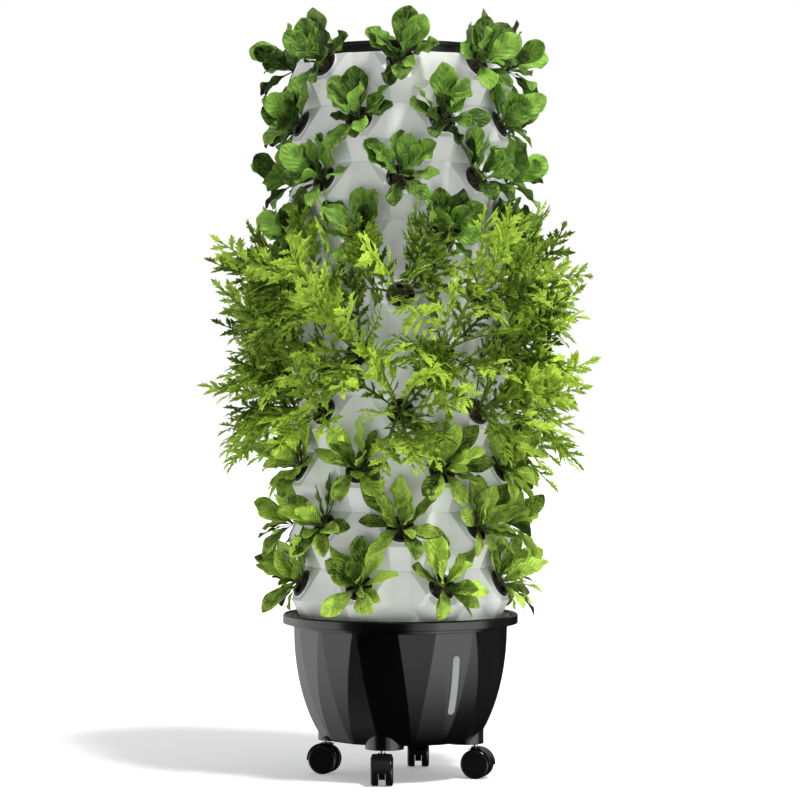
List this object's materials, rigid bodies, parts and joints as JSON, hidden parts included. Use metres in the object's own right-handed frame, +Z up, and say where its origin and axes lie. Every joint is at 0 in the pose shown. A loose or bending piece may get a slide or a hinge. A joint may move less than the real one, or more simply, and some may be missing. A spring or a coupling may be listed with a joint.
{
  "type": "hydroponic tower",
  "caption": "Vertical hydroponic growing tower: a wheeled water tank carrying a stack of white pocketed planting layers with leafy plants, fed by a pump and riser pipe.",
  "frame": {"origin": "on the floor plane under the wheels, on the tower's vertical axis", "axes": "+Z runs up the tower, -Y is the side that the picture looks at, +X is to its right"},
  "size_m": [0.8626, 0.8626, 1.5987],
  "materials": {
    "tank_plastic": "polished black moulded plastic",
    "window_plastic": "frosted translucent plastic",
    "deck_plastic": "black moulded plastic",
    "steel": "turned steel",
    "caster_plastic": "black nylon",
    "wheel_plastic": "black nylon",
    "layer_plastic": "white moulded plastic",
    "top_plastic": "black moulded plastic",
    "pipe_plastic": "extruded white plastic",
    "pump_plastic": "black moulded plastic",
    "ceramic": "ground ceramic",
    "rotor_plastic": "plain moulded plastic",
    "foot_rubber": "soft rubber",
    "cup_plastic": "black moulded plastic",
    "sponge": "open-cell sponge",
    "leaf_lower": "glossy bright green leaves",
    "leaf_middle": "yellow-green cut leaves",
    "leaf_upper": "darker green leaves with pale veins"
  },
  "bodies": {
    "tower": {"tank": "tank_plastic", "level_window": "window_plastic", "tank_cover": "deck_plastic", "caster_stems": "steel", "layer_01": "layer_plastic", "layer_02": "layer_plastic", "layer_03": "layer_plastic", "layer_04": "layer_plastic", "layer_05": "layer_plastic", "layer_06": "layer_plastic", "layer_07": "layer_plastic", "layer_08": "layer_plastic", "layer_09": "layer_plastic", "layer_10": "layer_plastic", "top_ring": "top_plastic", "distributor": "pipe_plastic", "riser_pipe": "pipe_plastic", "pump_housing": "pump_plastic", "pump_cover": "pump_plastic", "pump_shaft": "ceramic", "pump_feet": "foot_rubber", "net_cups_lower": "cup_plastic", "net_cups_middle": "cup_plastic", "net_cups_upper": "cup_plastic", "grow_plugs_lower": "sponge", "grow_plugs_middle": "sponge", "grow_plugs_upper": "sponge", "plants_01": "leaf_lower", "plants_02": "leaf_lower", "plants_03": "leaf_lower", "plants_04": "leaf_middle", "plants_05": "leaf_middle", "plants_06": "leaf_middle", "plants_07": "leaf_upper", "plants_08": "leaf_upper", "plants_09": "leaf_upper", "plants_10": "leaf_upper"},
    "caster_front": {"caster_hood_front": "caster_plastic", "caster_axle_front": "steel"},
    "caster_right": {"caster_hood_right": "caster_plastic", "caster_axle_right": "steel"},
    "caster_rear": {"caster_hood_rear": "caster_plastic", "caster_axle_rear": "steel"},
    "caster_left": {"caster_hood_left": "caster_plastic", "caster_axle_left": "steel"},
    "wheel_front_a_body": {"wheel_front_a": "wheel_plastic"},
    "wheel_front_b_body": {"wheel_front_b": "wheel_plastic"},
    "wheel_right_a_body": {"wheel_right_a": "wheel_plastic"},
    "wheel_right_b_body": {"wheel_right_b": "wheel_plastic"},
    "wheel_rear_a_body": {"wheel_rear_a": "wheel_plastic"},
    "wheel_rear_b_body": {"wheel_rear_b": "wheel_plastic"},
    "wheel_left_a_body": {"wheel_left_a": "wheel_plastic"},
    "wheel_left_b_body": {"wheel_left_b": "wheel_plastic"},
    "cover": {"top_cover": "top_plastic"},
    "impeller": {"pump_impeller": "rotor_plastic"}
  },
  "joints": [
    {"name": "swivel_front", "type": "hinge", "parent": "tower", "child": "caster_front", "pos_m": [-0.03813, -0.15642, 0.06], "axis": [0, 0, 1], "continuous": true},
    {"name": "roll_front_a", "type": "hinge", "parent": "caster_front", "child": "wheel_front_a_body", "pos_m": [-0.03813, -0.16042, 0.031], "axis": [1, 0, 0], "continuous": true},
    {"name": "roll_front_b", "type": "hinge", "parent": "caster_front", "child": "wheel_front_b_body", "pos_m": [-0.03813, -0.16042, 0.031], "axis": [1, 0, 0], "continuous": true},
    {"name": "swivel_right", "type": "hinge", "parent": "tower", "child": "caster_right", "pos_m": [0.15642, -0.03813, 0.06], "axis": [0, 0, 1], "continuous": true},
    {"name": "roll_right_a", "type": "hinge", "parent": "caster_right", "child": "wheel_right_a_body", "pos_m": [0.16022, -0.03937, 0.031], "axis": [0.309, 0.9511, 0], "continuous": true},
    {"name": "roll_right_b", "type": "hinge", "parent": "caster_right", "child": "wheel_right_b_body", "pos_m": [0.16022, -0.03937, 0.031], "axis": [0.309, 0.9511, 0], "continuous": true},
    {"name": "swivel_rear", "type": "hinge", "parent": "tower", "child": "caster_rear", "pos_m": [0.03813, 0.15642, 0.06], "axis": [0, 0, 1], "continuous": true},
    {"name": "roll_rear_a", "type": "hinge", "parent": "caster_rear", "child": "wheel_rear_a_body", "pos_m": [0.03813, 0.15242, 0.031], "axis": [1, 0, 0], "continuous": true},
    {"name": "roll_rear_b", "type": "hinge", "parent": "caster_rear", "child": "wheel_rear_b_body", "pos_m": [0.03813, 0.15242, 0.031], "axis": [1, 0, 0], "continuous": true},
    {"name": "swivel_left", "type": "hinge", "parent": "tower", "child": "caster_left", "pos_m": [-0.15642, 0.03813, 0.06], "axis": [0, 0, 1], "continuous": true},
    {"name": "roll_left_a", "type": "hinge", "parent": "caster_left", "child": "wheel_left_a_body", "pos_m": [-0.16022, 0.03937, 0.031], "axis": [-0.309, -0.9511, 0], "continuous": true},
    {"name": "roll_left_b", "type": "hinge", "parent": "caster_left", "child": "wheel_left_b_body", "pos_m": [-0.16022, 0.03937, 0.031], "axis": [-0.309, -0.9511, 0], "continuous": true},
    {"name": "cover_lift", "type": "slide", "parent": "tower", "child": "cover", "axis": [0, 0, 1], "range_m": [0, 0.25]},
    {"name": "impeller_spin", "type": "hinge", "parent": "tower", "child": "impeller", "pos_m": [0, 0, 0.1185], "axis": [0, 1, 0], "continuous": true}
  ]
}
